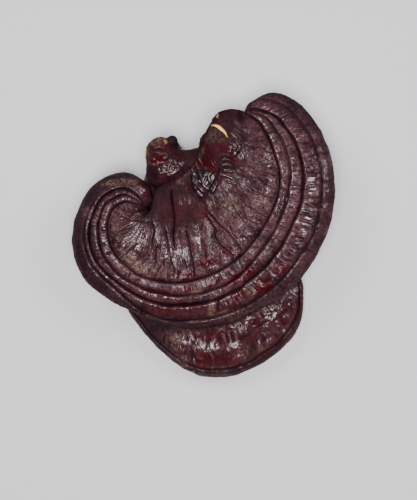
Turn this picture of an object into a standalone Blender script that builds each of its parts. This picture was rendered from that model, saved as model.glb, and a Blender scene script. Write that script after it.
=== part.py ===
"""Reishi mushroom: two kidney-shaped caps, one above the other, grown from one short knobbly stem.

Metres, +Z up. The origin is the middle of the stem's flat cut, on the surface that the mushroom rests on.
Each cap is a loft. A station is one place along the rim. At each station a spoke runs from the cap's
back, where it leaves the stem, over the disc to the first furrow, and over the ridges to the margin.
"""

import math

import bmesh
import bpy
import numpy as np
from mathutils import Vector

MM = 0.001

# Rails are in mm about the cap's centre, stations running from the left tip, clockwise seen from below.
# rings: where furrows two to four lie, as shares of the way from the first furrow to the margin.
# back_top, margin_level, beds, crests and belly: heights in mm above the centre.
# belly: the underside from margin to back, as (place on the spoke, height).
# swellings: lumps and hollows of the disc, as (place, radius, height).
UPPER_CAP = {
    "centre": (20.2, -12.5, 35.0),
    "tilt_deg": (2.0, -3.0, 0.0),
    "columns": 62,
    "back": (
        (-27.2, -12.3), (-26.8, -12.8), (-26.2, -13.3), (-25.2, -13.5), (-24.2, -13.2), (-24.0, -11.8),
        (-23.9, -7.8), (-22.2, -2.8), (-15.4, 0.8), (-8.4, 6.8), (-3.6, 13.0), (-0.4, 20.4),
        (3.2, 26.6), (6.8, 30.6), (11.3, 32.0), (15.3, 31.5), (17.6, 30.4),
    ),
    "furrow": (
        (-29.0, -11.5), (-31.8, -10.6), (-36.9, -9.9), (-42.3, -13.5), (-44.6, -22.1), (-41.9, -32.0),
        (-33.3, -41.0), (-22.1, -45.5), (-9.5, -46.1), (6.7, -40.7), (19.4, -30.4), (29.9, -14.0),
        (33.5, 0.0), (30.2, 14.0), (24.8, 24.8), (20.3, 28.6), (18.4, 30.2),
    ),
    "margin": (
        (-24.1, -8.6), (-26.6, -1.9), (-37.7, 3.8), (-53.0, -3.2), (-61.4, -23.4), (-58.4, -41.0),
        (-46.1, -53.9), (-26.0, -63.4), (-7.3, -68.0), (16.0, -63.4), (40.6, -47.9), (55.4, -23.3),
        (58.4, 0.0), (54.7, 17.3), (44.2, 33.3), (30.6, 39.7), (20.1, 35.1),
    ),
    "rings": (
        *[(0.28, 0.49, 0.63)] * 4,
        (0.25, 0.47, 0.62), (0.25, 0.46, 0.60), (0.27, 0.45, 0.62), (0.27, 0.52, 0.86), (0.27, 0.47, 0.79),
        (0.28, 0.46, 0.79), (0.20, 0.41, 0.75), (0.18, 0.41, 0.77), (0.18, 0.43, 0.76), (0.21, 0.43, 0.75),
        (0.19, 0.37, 0.72), (0.12, 0.26, 0.68), (0.14, 0.28, 0.68),
    ),
    "back_top": (-4, -4, -4, -4, -3, -1.5, -0.5, 0, -0.5, -0.5, 1, 4, 4, 3, 1.5, 0, -1),
    "margin_level": (-6, -6.5, -7.5, -8.5, -9, -9, -8.5, -8, -8, -7.5, -7, -7, -7, -7, -6.5, -6, -5),
    "beds": (-1.3, -1.2, -1.7, -2.0),
    "crests": (1.3, 1.6, 2.0),
    "belly": (
        (1.95, -10.6), (1.8, -10.4), (1.45, -11.0), (1.0, -12.2), (0.6, -13.8), (0.32, -13.0), (0.13, -10.0),
        (0.03, -6.0),
    ),
    "swellings": (
        ((8.0, 16.0), 9.0, 2.4), ((-0.5, -1.5), 5.5, 2.2), ((3.5, 7.5), 6.0, 1.5), ((-12.0, -24.0), 16.0, 1.6),
        ((-2.4, -12.6), 3.2, -1.0), ((2.0, -17.4), 3.2, -1.2), ((6.8, -22.8), 3.2, -1.0), ((9.0, -15.0), 6.0, 1.2),
    ),
}

LOWER_CAP = {
    "centre": (8.4, -20.6, 12.0),
    "tilt_deg": (0.0, 0.0, 0.0),
    "columns": 44,
    "back": (
        (-6.0, 0.4), (-6.2, -0.6), (-5.8, -1.6), (-5.0, -2.4), (-3.8, -2.8), (-2.4, -2.9), (-1.0, -2.7),
        (0.6, -2.2), (2.2, -1.6), (3.8, -0.9), (5.2, 0.0), (6.6, 1.0), (7.8, 2.0), (8.8, 3.0), (9.4, 4.0),
    ),
    "furrow": (
        (-8.8, 0.4), (-13.9, -6.6), (-19.3, -16.0), (-20.5, -25.0), (-15.6, -35.0), (-6.7, -45.2),
        (3.4, -51.8), (15.3, -52.4), (27.0, -47.1), (35.4, -38.9), (38.3, -29.0), (36.5, -18.2),
        (29.1, -9.7), (19.3, -2.3), (11.6, 4.0),
    ),
    "margin": (
        (-10.6, 0.6), (-18.7, -10.3), (-27.6, -24.3), (-30.0, -38.8), (-22.9, -54.8), (-9.4, -71.1),
        (6.1, -81.9), (24.3, -83.1), (42.1, -74.9), (54.8, -62.2), (58.5, -46.8), (54.8, -30.0),
        (42.1, -16.8), (25.7, -5.6), (13.0, 4.2),
    ),
    "rings": ((0.32, 0.55, 0.86),) * 15,
    "back_top": (0, 1.5, 3, 4, 4.5, 5, 5, 5, 5, 4.5, 4, 3, 2, 1, 0),
    "margin_level": (-6, -6.5, -6.5, -6.5, -6.5, -6.5, -6.5, -6.5, -6, -6, -6, -6, -6, -6, -6),
    "beds": (1.0, 1.6, 1.7, 0.5),
    "crests": (0.2, 0.2, 0.2),
    "belly": ((1.95, -9.6), (1.78, -12.0), (1.0, -12.0), (0.35, -12.0), (0.06, -9.5)),
    "swellings": (((-4.0, -30.0), 9.0, 0.8), ((22.0, -28.0), 8.0, -0.8)),
}

# Where the rows of faces lie, along the disc, across each ridge and over the outer lip
DISC_ROWS = (0.0, 0.03, 0.1, 0.22, 0.38, 0.55, 0.72, 0.87, 0.95)
RIDGE_ROWS = (0.0, 0.16, 0.5, 0.82)
LIP_ROWS = (0.0, 0.3, 0.6, 0.85, 1.0)
FULL_RIDGE_WIDTH = 3.5
TIP_ROUND_COLUMNS = 4

# Stem: strands of overlapping lumps in mm, each from one centre and radius to another
STRANDS = (
    ((0.0, 0.0, -3.0), 8.4, (0.8, -1.0, 7.0), 7.4),
    ((0.8, -1.0, 7.0), 7.4, (-0.4, -0.8, 17.0), 7.6),
    ((-0.4, -0.8, 17.0), 7.6, (0.6, -3.0, 27.0), 7.4),
    ((-4.0, 2.6, 9.5), 4.2, (-3.2, 3.6, 13.0), 3.8),
    ((4.6, 4.0, 4.5), 4.4, (4.4, 3.4, 9.5), 3.6),
    ((0.0, 0.8, 30.0), 6.6, (0.6, -7.6, 29.6), 7.2),
    ((0.6, -7.6, 29.6), 7.2, (6.0, -6.4, 30.0), 6.6),
    ((-0.6, -6.0, 30.0), 6.0, (-1.4, -10.4, 29.6), 5.2),
    ((4.0, 3.0, 26.0), 4.4, (5.4, 5.4, 31.2), 3.0),
    ((3.0, -5.0, 27.0), 7.4, (11.5, -3.6, 29.8), 5.4),
    ((11.5, -3.6, 29.8), 5.4, (18.4, -3.2, 30.2), 5.8),
    ((2.0, -4.0, 18.0), 8.2, (17.0, -13.0, 21.0), 9.0),
    ((2.0, -4.0, 10.0), 8.0, (9.0, -19.0, 9.0), 7.6),
)
LUMP_SPACING = 2.5
STEM_VOXEL = 1.1
FORK_VOXEL = 0.6
STEM_KEPT_FACES = 0.085
FORK_GAP = 0.85

MATERIALS = {
    "stem": ((0.075, 0.008, 0.010), 0.22),
    "upper_cap": ((0.085, 0.030, 0.034), 0.42),
    "lower_cap": ((0.095, 0.026, 0.030), 0.36),
}


def curve_through(values, at):
    """Points on a smooth curve through the given ones. at counts stations, from 0."""
    values = np.asarray(values, float)
    last = len(values) - 1
    low = np.clip(np.floor(at).astype(int), 0, last - 1)
    f = (at - low).reshape(-1, *[1] * (values.ndim - 1))
    padded = np.concatenate([[2 * values[0] - values[1]], values, [2 * values[-1] - values[-2]]])
    a, b, c, d = (padded[low + k] for k in range(4))
    return 0.5 * (2 * b + (c - a) * f + (2 * a - 5 * b + 4 * c - d) * f**2 + (3 * b - a - 3 * c + d) * f**3)


def even_stations(margin, columns):
    """Station numbers that part the margin into equal lengths."""
    fine = np.linspace(0, len(margin) - 1, 40 * len(margin))
    steps = np.linalg.norm(np.diff(curve_through(margin, fine), axis=0), axis=1)
    run = np.concatenate([[0], np.cumsum(steps)])
    return np.interp(np.linspace(0, run[-1], columns), run, fine)


def spoke_point(back, furrow, margin, way):
    """Where a spoke is. way is 0 at the back, 1 on the first furrow and 2 at the margin."""
    if way > 1:
        return furrow + (way - 1) * (margin - furrow)
    bend = furrow - 0.6 * (margin - furrow)
    return (1 - way) ** 2 * back + 2 * way * (1 - way) * bend + way**2 * furrow


def ridge(across):
    """Height of a ridge from one furrow, 0, to the next, 1: a steep inner lip and a rounded outer side."""
    rise = 1 - (1 - min(across / 0.16, 1)) ** 2
    fall = 1 - max(0, (across - 0.3) / 0.7) ** 2.4
    return rise * fall


def disc_height(share, back_top, first_bed, belly_back):
    """Height of the disc, falling from the back to the first furrow, with the back's edge rounded over."""
    if share == 0:
        return 0.5 * (back_top + belly_back)
    drop_to_furrow = first_bed * max(0, (share - 0.86) / 0.14) ** 1.5
    return back_top * (1 - share) ** 1.4 + drop_to_furrow - (1.2 if share < 0.05 else 0)


def swelling_height(point, swellings):
    return sum(
        high * math.exp(-((point[0] - at[0]) ** 2 + (point[1] - at[1]) ** 2) / wide**2)
        for at, wide, high in swellings
    )


def section(cap, ridged, back, furrow, margin, rings, back_top, margin_level):
    """The cap's outline over one spoke, in mm: the top from back to margin, and then the underside."""
    shares = (0, *rings, 1)
    width = np.linalg.norm(margin - furrow)
    beds = cap["beds"]
    loop = []
    for share in DISC_ROWS:
        point = spoke_point(back, furrow, margin, share)
        height = disc_height(share, back_top, beds[0], cap["belly"][-1][1])
        if share > 0:
            height += swelling_height(point, cap["swellings"])
        loop.append((*point, height))
    for band in (0, 1, 2):
        spread = shares[band + 1] - shares[band]
        crest = cap["crests"][band] * min(1, spread * width / FULL_RIDGE_WIDTH) * ridged
        for share in RIDGE_ROWS:
            point = spoke_point(back, furrow, margin, 1 + shares[band] + share * spread)
            loop.append((*point, beds[band] + share * (beds[band + 1] - beds[band]) + crest * ridge(share)))
    brow = beds[3] + ridged * min(1, (1 - shares[3]) * width / FULL_RIDGE_WIDTH)
    for share in LIP_ROWS:
        point = spoke_point(back, furrow, margin, 1 + shares[3] + share * (1 - shares[3]))
        height = margin_level + (brow - margin_level) * math.sqrt(1 - share**2)
        loop.append((*point, beds[3] if share == 0 else height))
    loop += [(*spoke_point(back, furrow, margin, way), height) for way, height in cap["belly"]]
    return np.array(loop)


def sections(cap, ridged):
    at = even_stations(cap["margin"], cap["columns"])
    names = ("back", "furrow", "margin", "rings", "back_top", "margin_level")
    rails = [curve_through(cap[name], at) for name in names]
    loops = [section(cap, ridged, *(rail[i] for rail in rails)) for i in range(cap["columns"])]
    for step in range(TIP_ROUND_COLUMNS):
        keep = 0.45 + 0.55 * math.sin(math.pi / 2 * step / TIP_ROUND_COLUMNS)
        for loop in (loops[step], loops[-1 - step]):
            middle = loop[:, 2].mean()
            loop[:, 2] = middle + keep * (loop[:, 2] - middle)
    return loops


def cap_piece(name, cap, ridged=True):
    """The closed loft through a cap's sections, with a fan over each end."""
    mesh = bmesh.new()
    loops = [[mesh.verts.new(Vector(point) * MM) for point in loop] for loop in sections(cap, ridged)]
    count = len(loops[0])
    for first, second in zip(loops, loops[1:]):
        for j in range(count):
            k = (j + 1) % count
            mesh.faces.new((first[j], first[k], second[k], second[j]))
    ends = [mesh.faces.new(loop) for loop in (loops[0], loops[-1])]
    bmesh.ops.poke(mesh, faces=ends)
    bmesh.ops.recalc_face_normals(mesh, faces=mesh.faces)
    data = bpy.data.meshes.new(name)
    mesh.to_mesh(data)
    mesh.free()
    piece = bpy.data.objects.new(name, data)
    bpy.context.collection.objects.link(piece)
    piece.location = Vector(cap["centre"]) * MM
    piece.rotation_euler = [math.radians(angle) for angle in cap["tilt_deg"]]
    return piece


def cut_by(piece, cutter):
    cutter.hide_render = True
    cutter.display_type = "WIRE"
    cut = piece.modifiers.new("cut by " + cutter.name, "BOOLEAN")
    cut.operation = "DIFFERENCE"
    cut.solver = "EXACT"
    cut.object = cutter


def cap_cutter(name, cap):
    """A cap without its ridges, thicker all round by the gap that parts it from the stem."""
    cutter = cap_piece(name, cap, ridged=False)
    swell = cutter.modifiers.new("gap", "DISPLACE")
    swell.strength = FORK_GAP * MM
    swell.mid_level = 0
    return cutter


def floor_cutter():
    """Everything below the surface that the stem stands on."""
    bpy.ops.mesh.primitive_cube_add(size=0.08, location=(0, 0, -0.04))
    block = bpy.context.object
    block.name = "floor_cutter"
    return block


def lump_mesh():
    """Every lump of the stem's strands as its own small ball, in one mesh."""
    mesh = bmesh.new()
    for start, start_radius, end, end_radius in STRANDS:
        start, end = Vector(start), Vector(end)
        steps = max(1, math.ceil((end - start).length / LUMP_SPACING))
        for step in range(steps + 1):
            share = step / steps
            made = bmesh.ops.create_icosphere(mesh, subdivisions=3, radius=1)["verts"]
            radius = start_radius + share * (end_radius - start_radius)
            bmesh.ops.scale(mesh, verts=made, vec=(radius * MM,) * 3)
            bmesh.ops.translate(mesh, verts=made, vec=start.lerp(end, share) * MM)
    data = bpy.data.meshes.new("stem")
    mesh.to_mesh(data)
    mesh.free()
    return data


def fuse(piece, label, voxel):
    remesh = piece.modifiers.new(label, "REMESH")
    remesh.mode = "VOXEL"
    remesh.voxel_size = voxel * MM
    remesh.use_smooth_shade = True


def stem_piece(name):
    """The knobbly stem, cut flat below and fitted to both caps where it forks."""
    piece = bpy.data.objects.new(name, lump_mesh())
    bpy.context.collection.objects.link(piece)
    fuse(piece, "fuse the lumps", STEM_VOXEL)
    soften = piece.modifiers.new("soften", "SMOOTH")
    soften.factor = 0.6
    soften.iterations = 4
    cut_by(piece, cap_cutter("upper_cutter", UPPER_CAP))
    cut_by(piece, cap_cutter("lower_cutter", LOWER_CAP))
    fuse(piece, "even out the fork's edges", FORK_VOXEL)
    thin_out = piece.modifiers.new("fewer faces", "DECIMATE")
    thin_out.ratio = STEM_KEPT_FACES
    cut_by(piece, floor_cutter())
    return piece


def finish(piece):
    """The piece's own material, and smooth shading except over its furrows."""
    colour, roughness = MATERIALS[piece.name]
    material = bpy.data.materials.new(piece.name)
    material.use_nodes = True
    surface = material.node_tree.nodes["Principled BSDF"]
    surface.inputs["Base Color"].default_value = (*colour, 1)
    surface.inputs["Roughness"].default_value = roughness
    surface.inputs["Metallic"].default_value = 0
    piece.data.materials.append(material)
    piece.data.shade_smooth()
    piece.data.set_sharp_from_angle(angle=math.radians(50))


def main():
    for old in list(bpy.data.objects):
        bpy.data.objects.remove(old)
    for piece in (cap_piece("upper_cap", UPPER_CAP), cap_piece("lower_cap", LOWER_CAP), stem_piece("stem")):
        finish(piece)


main()
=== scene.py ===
"""Looks of the reishi mushroom: varnished, ridged and wrinkled crust, pale pore surface and knobbly stem.

Each cap follows the same rails as the solid cap, at a fine pitch, and is then given its furrows,
wrinkles, cracks and folds as real relief. Lengths are in mm until a mesh is made.
"""

import itertools
import math

import bmesh
import bpy
import numpy as np
from mathutils import Euler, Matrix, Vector


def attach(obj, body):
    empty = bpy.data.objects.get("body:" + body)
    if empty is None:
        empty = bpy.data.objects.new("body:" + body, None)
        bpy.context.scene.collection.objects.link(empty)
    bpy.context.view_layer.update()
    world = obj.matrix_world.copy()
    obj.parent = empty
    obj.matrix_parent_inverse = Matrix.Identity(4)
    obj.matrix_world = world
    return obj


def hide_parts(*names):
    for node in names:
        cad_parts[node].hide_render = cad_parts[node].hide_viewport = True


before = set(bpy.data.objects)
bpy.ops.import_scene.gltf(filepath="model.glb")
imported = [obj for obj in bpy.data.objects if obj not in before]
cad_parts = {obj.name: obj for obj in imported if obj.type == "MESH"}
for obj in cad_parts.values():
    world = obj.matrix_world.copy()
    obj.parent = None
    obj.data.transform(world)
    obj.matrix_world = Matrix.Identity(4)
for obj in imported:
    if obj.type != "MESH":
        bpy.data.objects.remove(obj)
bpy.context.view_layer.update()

MM = 0.001

# Camera: straight above, framed as in the photograph. Its place is in metres.
CAMERA_CENTRE = (0.0217, -0.044)
CAMERA_PLACE = (*CAMERA_CENTRE, 0.6)
CAMERA_LENS = 90.4

# Lights: (name, place, size, power, colour), all in metres and turned to one place, and the dim sky
LIT_PLACE = (*CAMERA_CENTRE, 0.02)
LIGHTS = (
    ("key", (0, -0.15, 1), 0.4, 17, (1, 0.91, 0.945)),
    ("side", (-0.45, 0.38, 0.8), 0.55, 7, (0.95, 0.98, 1)),
    ("fill", (0.6, 0.2, 0.75), 0.55, 6, (0.94, 0.97, 1)),
)
SKY_COLOUR = (0.8, 0.86, 1, 1)
SKY_STRENGTH = 0.09

# Floor: far wider than the view, and just under the flat undersides
FLOOR_SIZE = 8
FLOOR_GAP = 0.1 * MM
FLOOR_GREY = (0.5, 0.51, 0.52, 1)

# Colours, as linear red, green and blue
BLACK = (0, 0, 0)
MAROON = (0.017, 0.0045, 0.0062)
BROWN_RED = (0.064, 0.0245, 0.028)
PURPLE_BLACK = (0.0065, 0.0035, 0.0055)
RED_BROWN = (0.062, 0.01, 0.0115)
PINK_GREY = (0.1, 0.056, 0.06)
BLOOD_RED = (0.0335, 0.0003, 0.002)
PURPLE_GREY = (0.06, 0.037, 0.043)
TAN_DUST = (0.13, 0.088, 0.064)
CREAM_FLESH = (0.66, 0.41, 0.155)
CORK_BROWN = (0.23, 0.12, 0.055)
PORE_TAN = (0.33, 0.21, 0.115)
PORE_BROWN = (0.14, 0.075, 0.04)

# The painted fields, each from 0 to 1, in the order in which they are stored
FIELDS = ("cork", "hollow_shade", "dust", "gloss", "pores", "red", "rim", "stem_side", "torn")

# Large numbers that scatter the noise
SEED_SPREAD, STEP_SPREAD = 974634777, 1274126177
PLACE_SPREADS = (374761393, 668265263, 2147483629)

# Points taken for each station of a rail and for each point of a line
RAIL_STEPS, LINE_STEPS = 40, 14

# The bands of a cap's section. Bands 1 to 3 are the ridges, and WALL meets the stem.
DISC, LIP, BELOW, WALL, HIDDEN = 0, 4, 5, 6, 7

# In mm: least height of the wall, how deep the bed and the back of the disc's skin lie, the width at
# which a ridge has its full height, and how far from its ends a cap thins
LEAST_WALL, BED_DEPTH, SKIN_DEPTH, FULL_RIDGE_WIDTH, TIP_REACH = 4.5, 2.8, 3.4, 3.5, 16

# Turns in degrees of the sections that round off a cap's ends
DOME_ANGLES = (25, 48, 68, 84)

# Spacing and length in mm of the wrinkles on the disc, the three ridges and the lip
WRINKLE_SIZES = ((2.4, 9), (2.1, 10), (2.1, 10), (2.1, 10), (2.2, 6))

# Rails are in mm about the cap's centre, stations running from the left tip, clockwise seen from below.
# columns: how many sections the mesh has.
# rings: where furrows two to four lie, as shares of the way from the first furrow to the margin.
# back_top, margin_level, beds and belly: heights above the centre. beds: the ground of the furrows.
# belly: the underside from margin to back, as (place on the spoke, height).
# crests: how far the three ridges rise above the beds.
# groove_depths, groove_widths: of the four furrows. groove_strengths: how marked they are by station.
# wrinkle_depths: on the disc, the three ridges and the lip. wrinkle_scale: the size of all wrinkles.
# dark_below: how low a wrinkle's valley lies before it gets painted shade. sheen: gloss all over the top.
# smooth, deep: ovals with weaker and with deeper wrinkles, as (x, y, two radii, strength).
# swellings: low domes on the disc, as (x, y, two radii, height).
UPPER_CAP = {
    "centre": (20.2, -12.5, 35),
    "tilt_deg": (2, -3, 0),
    "columns": 760,
    "back": (
        (-27.2, -12.3), (-26.8, -12.8), (-26.2, -13.3), (-25.2, -13.5), (-24.2, -13.2), (-24, -11.8),
        (-23.9, -7.8), (-22.2, -2.8), (-15.4, 0.8), (-8.4, 6.8), (-3.6, 13), (-0.4, 20.4), (3.2, 26.6),
        (6.8, 30.6), (11.3, 32), (15.3, 31.5), (17.6, 30.4),
    ),
    "furrow": (
        (-29, -11.5), (-31.8, -10.6), (-36.9, -9.9), (-42.3, -13.5), (-44.6, -22.1), (-41.9, -32),
        (-33.3, -41), (-22.1, -45.5), (-9.5, -46.1), (6.7, -40.7), (19.4, -30.4), (29.9, -14), (33.5, 0),
        (30.2, 14), (24.8, 24.8), (20.3, 28.6), (18.4, 30.2),
    ),
    "margin": (
        (-24.1, -8.6), (-26.6, -1.9), (-37.7, 3.8), (-53.4, -3.2), (-61.8, -23.5), (-58.8, -41.4),
        (-46.1, -53.9), (-26, -63.4), (-7.3, -68), (16, -63.4), (40.6, -47.9), (55.4, -23.3), (58.4, 0),
        (54.7, 17.3), (44.2, 33.3), (30.6, 39.7), (20.1, 35.1),
    ),
    "rings": (
        (0.06, 0.13, 0.2), (0.15, 0.3, 0.4), (0.23, 0.45, 0.57), (0.26, 0.48, 0.61), (0.25, 0.47, 0.62),
        (0.25, 0.46, 0.6), (0.27, 0.45, 0.62), (0.27, 0.52, 0.86), (0.27, 0.47, 0.79), (0.28, 0.46, 0.79),
        (0.2, 0.41, 0.75), (0.18, 0.41, 0.77), (0.18, 0.43, 0.76), (0.21, 0.43, 0.75), (0.19, 0.37, 0.72),
        (0.12, 0.26, 0.68), (0.14, 0.28, 0.68),
    ),
    "back_top": (-4, -4, -4, -4, -3, -1.5, -0.5, 0, -0.5, -0.5, 1, 4, 4, 3, 1.5, 0, -1),
    "margin_level": (-6, -6.5, -7.5, -8.5, -9, -9, -8.5, -8, -8, -7.5, -7, -7, -7, -7, -6.5, -6, -5),
    "beds": (-1.3, -1.2, -1.7, -2),
    "crests": (1.3, 1.6, 2),
    "belly": (
        (1.95, -10.6), (1.8, -10.4), (1.45, -11), (1, -12.2), (0.6, -13.8), (0.32, -13), (0.13, -10),
        (0.03, -6),
    ),
    "groove_depths": (0.9, 0.7, 1.3, 0.6),
    "groove_widths": (0.3, 0.24, 0.3, 0.22),
    "groove_strengths": (
        *[(1, 0.8, 1, 0)] * 4, (1, 1, 1, 0.3), (1, 1, 1, 0.8), *[(1, 1, 1, 1)] * 4, (1, 0.9, 1, 1),
        (1, 0.75, 1, 1), (1, 0.5, 1, 0.9), (1, 0.3, 1, 0.7), (1, 0.3, 0.9, 0.5), (1, 0.3, 0.7, 0.3),
        (0.9, 0.3, 0.7, 0.3),
    ),
    "wrinkle_depths": (0.44, 0.3, 0.36, 0.55, 0.28),
    "wrinkle_scale": 1,
    "dark_below": -0.8,
    "sheen": 0.2,
    "smooth": (
        (-13.5, -11, 15, 9.5, 0.85), (7.6, 25.5, 10, 12, 0.85), (5.6, 13, 6.6, 4.6, 0.9),
        (30.2, -3.6, 2.6, 4.4, 0.65), (-14, -58, 24, 7, 0.55), (26, 30, 9, 8, 0.5),
    ),
    "deep": ((-32, -26, 13, 16, 0.7), (46, -10, 10, 28, 0.4), (29, -2, 9, 24, 0.5)),
    "swellings": (
        (8, 16, 9, 9, 2.4), (-0.5, -1.5, 5.5, 5.5, 2.2), (3.5, 7.5, 6, 6, 1.5), (-12, -24, 16, 16, 1.6),
        (9, -15, 6, 6, 1.2), (29.8, -2.2, 4, 4, 0.5), (-41, -27, 8, 8, 1),
    ),
}

LOWER_CAP = {
    "centre": (8.4, -20.6, 12),
    "tilt_deg": (0, 0, 0),
    "columns": 540,
    "back": (
        (-6, 0.4), (-6.2, -0.6), (-5.8, -1.6), (-5, -2.4), (-3.8, -2.8), (-2.4, -2.9), (-1, -2.7),
        (0.6, -2.2), (2.2, -1.6), (3.8, -0.9), (5.2, 0), (6.6, 1), (7.8, 2), (8.8, 3), (9.4, 4),
    ),
    "furrow": (
        (-8.8, 0.4), (-13.9, -6.6), (-19.3, -16), (-20.5, -25), (-15.6, -35), (-6.7, -45.2), (3.4, -51.8),
        (15.3, -52.4), (27, -47.1), (35.4, -38.9), (38.3, -29), (36.5, -18.2), (29.1, -9.7), (19.3, -2.3),
        (11.6, 4),
    ),
    "margin": (
        (-10.6, 0.6), (-18.7, -10.3), (-27.6, -24.3), (-30, -38.8), (-22.9, -54.8), (-9.4, -71.1),
        (6.1, -81.9), (24.3, -83.1), (42.1, -74.9), (54.8, -62.2), (58.5, -46.8), (54.8, -30), (42.1, -16.8),
        (25.7, -5.6), (13, 4.2),
    ),
    "rings": ((0.32, 0.55, 0.86),) * 15,
    "back_top": (0, 1.5, 3, 4, 4.5, 5, 5, 5, 5, 4.5, 4, 3, 2, 1, 0),
    "margin_level": (-6, -6.5, -6.5, -6.5, -6.5, -6.5, -6.5, -6.5, -6, -6, -6, -6, -6, -6, -6),
    "beds": (1, 1.6, 1.7, 0.5),
    "crests": (0, 0, 0),
    "belly": ((1.95, -9.6), (1.78, -12), (1, -12), (0.35, -12), (0.06, -9.5)),
    "groove_depths": (0, 0, 0, 1.2),
    "groove_widths": (0.4, 0.4, 0.4, 0.21),
    "groove_strengths": ((0, 0, 0, 1),) * 15,
    "wrinkle_depths": (0.22, 0.4, 0.46, 0.42, 0.34),
    "wrinkle_scale": 0.8,
    "dark_below": -0.58,
    "sheen": 0.12,
    "smooth": ((-22, -50, 16, 20, 0.85),),
    "deep": ((44, -56, 12, 16, 0.4),),
    "swellings": (),
}

# Cracks and creases, in mm about the cap's centre: (depth, half width, points)
UPPER_CREASES = (
    (1.8, 0.3, (-15.3, -5), (-14.9, -11.3), (-14, -17.1), (-14.2, -24.8), (-13.7, -30.2)),
    (0.6, 0.22, (27, 15.6), (30.6, 14.6)), (0.6, 0.22, (27.4, 3.2), (32.4, 1.4)),
    (0.6, 0.22, (25, -6.4), (30.8, -8.6)), (0.6, 0.22, (19, -20.6), (23.6, -24)),
    (0.5, 0.22, (14.6, 3), (18.6, 1.6), (22.8, 1.2)), (0.5, 0.22, (10.6, -4.6), (15, -6.4), (18.4, -8.8)),
    (0.8, 0.24, (-18, -22.5), (-17.1, -28.4), (-15.8, -34.2), (-15.3, -38.7)),
    (1.1, 0.3, (-8.1, -23.4), (-7.2, -30.2), (-5.9, -36.9), (-5, -43.2)),
    (0.8, 0.28, (-23.9, -18.9), (-23.2, -23.4), (-23.9, -28.4)),
    (0.5, 0.22, (-31.5, -18.4), (-28.6, -18.9), (-25.7, -18.9), (-22.5, -18), (-19.4, -17.6)),
    (0.4, 0.24, (-14.4, -21.8), (-11.2, -20.2), (-8.1, -20.9)),
    (0.6, 0.25, (-41.9, -24.3), (-37.8, -23), (-33.8, -21.6)),
    (0.6, 0.28, (-36.5, -34.2), (-34.2, -31.5), (-31, -28.8)),
    (0.9, 0.3, (4, -23.4), (6.3, -28.4), (8.6, -31.1)), (0.6, 0.25, (6.3, -33.8), (7.2, -39.2)),
    (0.6, 0.25, (18.5, -11.3), (23.4, -14.4), (28.4, -17.6)),
    (
        0.7, 0.36, (-6.3, -2.3), (-4.5, -5.9), (-1.8, -9), (0.5, -11.3), (0.9, -14), (3.6, -17.1),
        (6.8, -20.7), (10.8, -23.9), (14, -28.4), (16.7, -32),
    ),
    (0.6, 0.26, (-0.6, -15.2), (1.2, -17.6), (3, -20), (5.2, -23)),
    (0.7, 0.24, (-31, -12.4), (-29.6, -14.4), (-27.6, -16)),
    (0.6, 0.24, (-38, -16), (-34, -18), (-31, -18.6)), (0.7, 0.26, (-28, -31), (-30, -34), (-33, -37.5)),
    (0.6, 0.22, (-21.5, -30), (-22.5, -35), (-23, -39)),
    (
        0.9, 0.4, (-6.8, 2.2), (-6.1, -1.8), (-4.6, -5.4), (-2.6, -8), (0.2, -8.1), (2.4, -5.4), (4.8, -1),
        (6.4, 4.4),
    ),
    (0.35, 1.1, (16.2, 31.5), (17, 24.8), (17.6, 18), (15.6, 11.6)), (1, 0.35, (5.4, -53.1), (5.9, -59.4)),
    (0.8, 0.3, (-28.4, -56.7), (-29.3, -61)), (0.9, 0.3, (-33.8, -41.8), (-35.1, -44.5)),
    (0.9, 0.32, (48.2, -10.8), (52.6, -12)), (0.8, 0.32, (45.4, -19), (50.4, -22)),
    (0.5, 0.3, (-29.7, -13), (-33.3, -16), (-35.6, -19.4)),
)
LOWER_CREASES = (
    (0.9, 0.32, (28, -65), (32.7, -62.1), (37.6, -59), (40.8, -54.4)), (0.7, 0.28, (13.5, -73), (14, -78.5)),
    (0.7, 0.28, (50, -49), (53.2, -46.5)),
)

# Patches of colour, in mm about the cap's centre: (x, y, two radii, any turn in degrees, strength)
UPPER_RED = (
    (-26.6, -4.6, 5.4, 2.6, -50, 0.6), (5.9, 13.5, 7.6, 3, 4, 1), (2.3, 7.9, 5.2, 3.6, 15, 1),
    (12.6, 9, 1.6, 1.2, 0.9), (-9, -42.8, 5.4, 2.8, 0.9), (1.4, -36.9, 3.6, 3.2, 20, 1),
    (8.8, -32.6, 2.8, 2, 30, 0.8), (3.6, -46.4, 3.8, 1.8, 35, 1), (17, -43.4, 7.6, 2.2, 28, 1),
    (-8, -49.4, 4.5, 1.6, 0.8), (26.6, -47.4, 4.4, 3.6, 35, 1), (34.2, -39.2, 3.8, 3, 45, 0.9),
    (13.5, -52.9, 6.4, 2.6, 20, 0.9), (0.6, -16.8, 4.6, 2.2, -48, 0.55), (-9, -13, 7, 5, 0.35),
    (-1, -20, 6, 4, -40, 0.35), (-12, -58.4, 17, 3.4, 0.85), (8, -58, 8, 3, 8, 0.8),
    (-20, -51.5, 11, 1.8, -12, 0.6), (41, -26, 2.6, 2, 60, 0.6),
)
UPPER_DUST = (
    (-31, -38.7, 8, 3.6, -35, 0.9), (-22, -40.5, 6, 2.6, -10, 0.4), (11.3, -12.6, 5.5, 5, 0.45),
    (3.8, 19.6, 5.6, 3.4, -15, 0.22), (-39.6, -0.9, 8, 1.5, 4, 0.7), (2, -10.4, 1.5, 1.3, 0.8),
    (-5, -51, 3.4, 1.4, 8, 0.8), (2.7, -57, 1.6, 4.4, 0.8), (-1.4, 12.4, 1.4, 3.2, -20, 0.35),
    (20, -50, 2, 2, 0.5), (10, -60, 7, 1.5, 12, 0.5), (-38, -24, 5, 6, 0.3), (24, -12, 6, 5, 0.3),
    (24, -58, 12, 1.4, 26, 0.25), (41, -45, 7, 1.4, 48, 0.2),
)
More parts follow.
